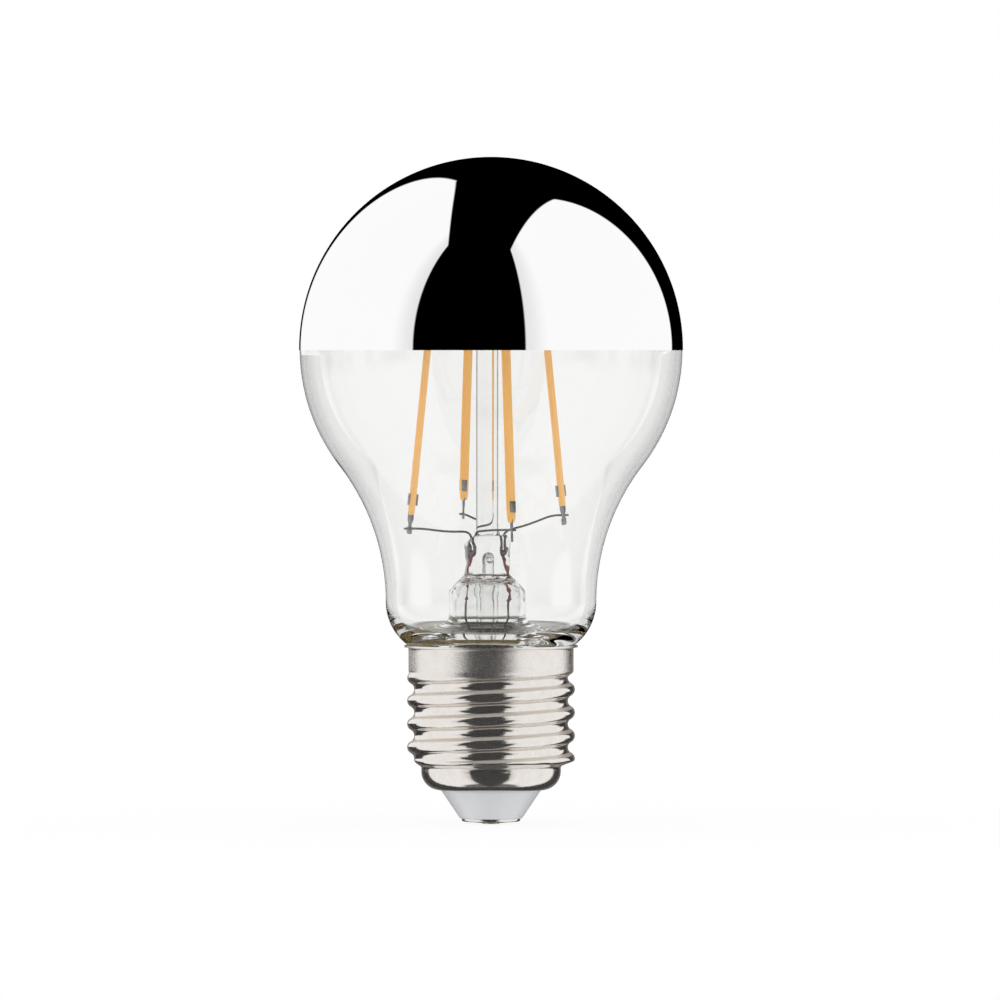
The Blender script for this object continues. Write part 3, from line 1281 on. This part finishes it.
def soft_box(tree, side, across, along, up, around, above, edge, bow):
    """Where a direction meets the tall soft box on one side: it stands between two upright edges, and its level top
    edge bows a little."""
    do = partial(sums, tree)
    steep = do("DIVIDE", along, do("MAXIMUM", up, 0.02))
    bend = do("MULTIPLY", do("MINIMUM", do("MULTIPLY", steep, steep), 0.4), bow)
    reach = do("MULTIPLY", up, do("ADD", bend, edge))
    beside = do("SUBTRACT", do("MULTIPLY", across, side), reach)
    under_top = ranged(tree, beside, -0.006, 0.006)
    turn = do("MULTIPLY", around, side)
    front, back = (144.3, 27.8) if side < 0 else (147.2, 28.3)
    rear = ranged(tree, above, 0.0, 1.0, 54.0, back, smooth=False)
    past_rear = ranged(tree, turn, do("SUBTRACT", rear, 0.8), do("ADD", rear, 0.8))
    upright = do("MULTIPLY", past_rear, ranged(tree, turn, front - 0.6, front + 0.6, 1.0, 0.0))
    soft = ranged(tree, turn, front - 16.0, front, 1.0, 0.82)
    low = ranged(tree, up, -0.93, -0.88, 0.12, 1.0)
    return do("MULTIPLY", do("MULTIPLY", under_top, upright), do("MULTIPLY", soft, low))


def studio_world():
    """White all round for what is seen straight and for the light on matt surfaces. What mirrors sees a dark studio
    with a tall soft box on each side. Through glass backdrop, sides and ground are white, with dark flags between."""
    world = bpy.data.worlds.new("studio")
    bpy.context.scene.world = world
    world.use_nodes = True
    world.cycles.sampling_method = "NONE"
    tree = world.node_tree
    tree.nodes.clear()
    do = partial(sums, tree)
    way = add(tree, "ShaderNodeTexCoord").outputs["Generated"]
    plain = add(tree, "ShaderNodeSeparateXYZ", {0: way}).outputs
    above = ranged(tree, plain["Z"], -0.035, -0.004)
    swing = do("MULTIPLY", above, math.radians(12))
    spin = {"Vector": way, "Center": (0, 0, 0), "Axis": (0, 0, 1), "Angle": swing}
    turned = add(tree, "ShaderNodeVectorRotate", spin, rotation_type="AXIS_ANGLE")
    parts = add(tree, "ShaderNodeSeparateXYZ", {0: turned.outputs[0]})
    across, along, up = parts.outputs
    around = do("MULTIPLY", do("ARCTAN2", across, along), 180 / math.pi)
    left = soft_box(tree, -1, across, along, up, around, above, 0.300, 0.13)
    right = soft_box(tree, 1, across, along, up, around, above, 0.289, 0.06)
    boxes = do("ADD", left, right)
    backdrop = ranged(tree, plain["Y"], 0.55, 0.68)
    behind = ranged(tree, plain["Y"], -0.80, -0.70, 0.9, 0.0)
    beside = ranged(tree, do("ABSOLUTE", plain["X"]), 0.93, 0.975, 0.0, 0.95)
    ground = ranged(tree, plain["Z"], -0.18, -0.06, 0.92, 0.14)
    through = do("MAXIMUM", do("MAXIMUM", backdrop, behind), do("MAXIMUM", beside, ground))
    path = add(tree, "ShaderNodeLightPath")
    passing = path.outputs["Is Transmission Ray"]
    lighting = do("MINIMUM", path.outputs["Diffuse Depth"], 1.0)
    glassy = do("MULTIPLY", passing, do("SUBTRACT", 1.0, lighting))
    mirror_only = do("SUBTRACT", path.outputs["Is Glossy Ray"], passing)
    reflected = ranged(tree, mirror_only, 0.4, 0.6, smooth=False)
    value = add(tree, "ShaderNodeMix", {"Factor": reflected, 2: 1.0, 3: boxes}, data_type="FLOAT").outputs[0]
    value = add(tree, "ShaderNodeMix", {"Factor": glassy, 2: value, 3: through}, data_type="FLOAT").outputs[0]
    light = add(tree, "ShaderNodeBackground", {"Color": (1, 1, 1, 1), "Strength": value})
    add(tree, "ShaderNodeOutputWorld", {"Surface": light.outputs[0]})


class LAMP_OT_stage(bpy.types.Operator):
    """Lays the pale floor, lights the studio and sets up the camera"""

    bl_idname = "lamp.stage"
    bl_label = "Stage, light and camera"

    def execute(self, context):
        stage = context.scene.lamp_stage
        scene = context.scene
        work = bmesh.new()
        bmesh.ops.create_circle(work, cap_ends=True, segments=96, radius=stage.floor_radius / MM)
        floor = finish_mesh("floor", work, floor_material(stage.floor_radius))
        studio_world()
        camera = bpy.data.cameras.new("camera")
        camera.lens = stage.lens
        camera.sensor_width = 36.0
        camera.clip_start, camera.clip_end = 0.1, 20.0
        eye = bpy.data.objects.new("camera", camera)
        scene.collection.objects.link(eye)
        eye.location = (stage.aim_side, -stage.distance, stage.eye_height)
        aim = Vector((stage.aim_side, 0, stage.aim_height)) - eye.location
        eye.rotation_euler = aim.to_track_quat("-Z", "Y").to_euler()
        scene.camera = eye
        scene.view_settings.view_transform = "Standard"
        scene.view_settings.look = "None"
        scene.view_settings.exposure = 0.0
        scene.cycles.max_bounces = 40
        scene.cycles.transmission_bounces = 40
        scene.cycles.glossy_bounces = 40
        scene.cycles.transparent_max_bounces = 12
        return {"FINISHED"}


class LAMP_PT_panel(bpy.types.Panel):
    bl_idname = "LAMP_PT_panel"
    bl_label = "Crown Lamp"
    bl_space_type = "VIEW_3D"
    bl_region_type = "UI"
    bl_category = "Crown Lamp"

    def draw(self, context):
        for operator in OPERATORS:
            self.layout.operator(operator.bl_idname)
        for name, group in GROUPS.items():
            box = self.layout.box()
            box.label(text=name.replace("_", " ").capitalize())
            for key in group.__annotations__:
                box.prop(getattr(context.scene, name), key)


OPERATORS = (
    LAMP_OT_glass,
    LAMP_OT_mirror,
    LAMP_OT_strips,
    LAMP_OT_wires,
    LAMP_OT_shell,
    LAMP_OT_tip,
    LAMP_OT_cement,
    LAMP_OT_driver,
    LAMP_OT_stage,
)


def register():
    for name, group in GROUPS.items():
        bpy.utils.register_class(group)
        setattr(bpy.types.Scene, name, bpy.props.PointerProperty(type=group))
    for operator in OPERATORS:
        bpy.utils.register_class(operator)
    bpy.utils.register_class(LAMP_PT_panel)


def unregister():
    bpy.utils.unregister_class(LAMP_PT_panel)
    for operator in reversed(OPERATORS):
        bpy.utils.unregister_class(operator)
    for name, group in reversed(list(GROUPS.items())):
        delattr(bpy.types.Scene, name)
        bpy.utils.unregister_class(group)


def main():
    register()
    bpy.ops.lamp.glass()
    bpy.ops.lamp.mirror()
    bpy.ops.lamp.strips()
    bpy.ops.lamp.wires()
    bpy.ops.lamp.shell()
    bpy.ops.lamp.tip()
    bpy.ops.lamp.cement()
    bpy.ops.lamp.driver()
    bpy.ops.lamp.stage()


if __name__ == "__main__":
    main()
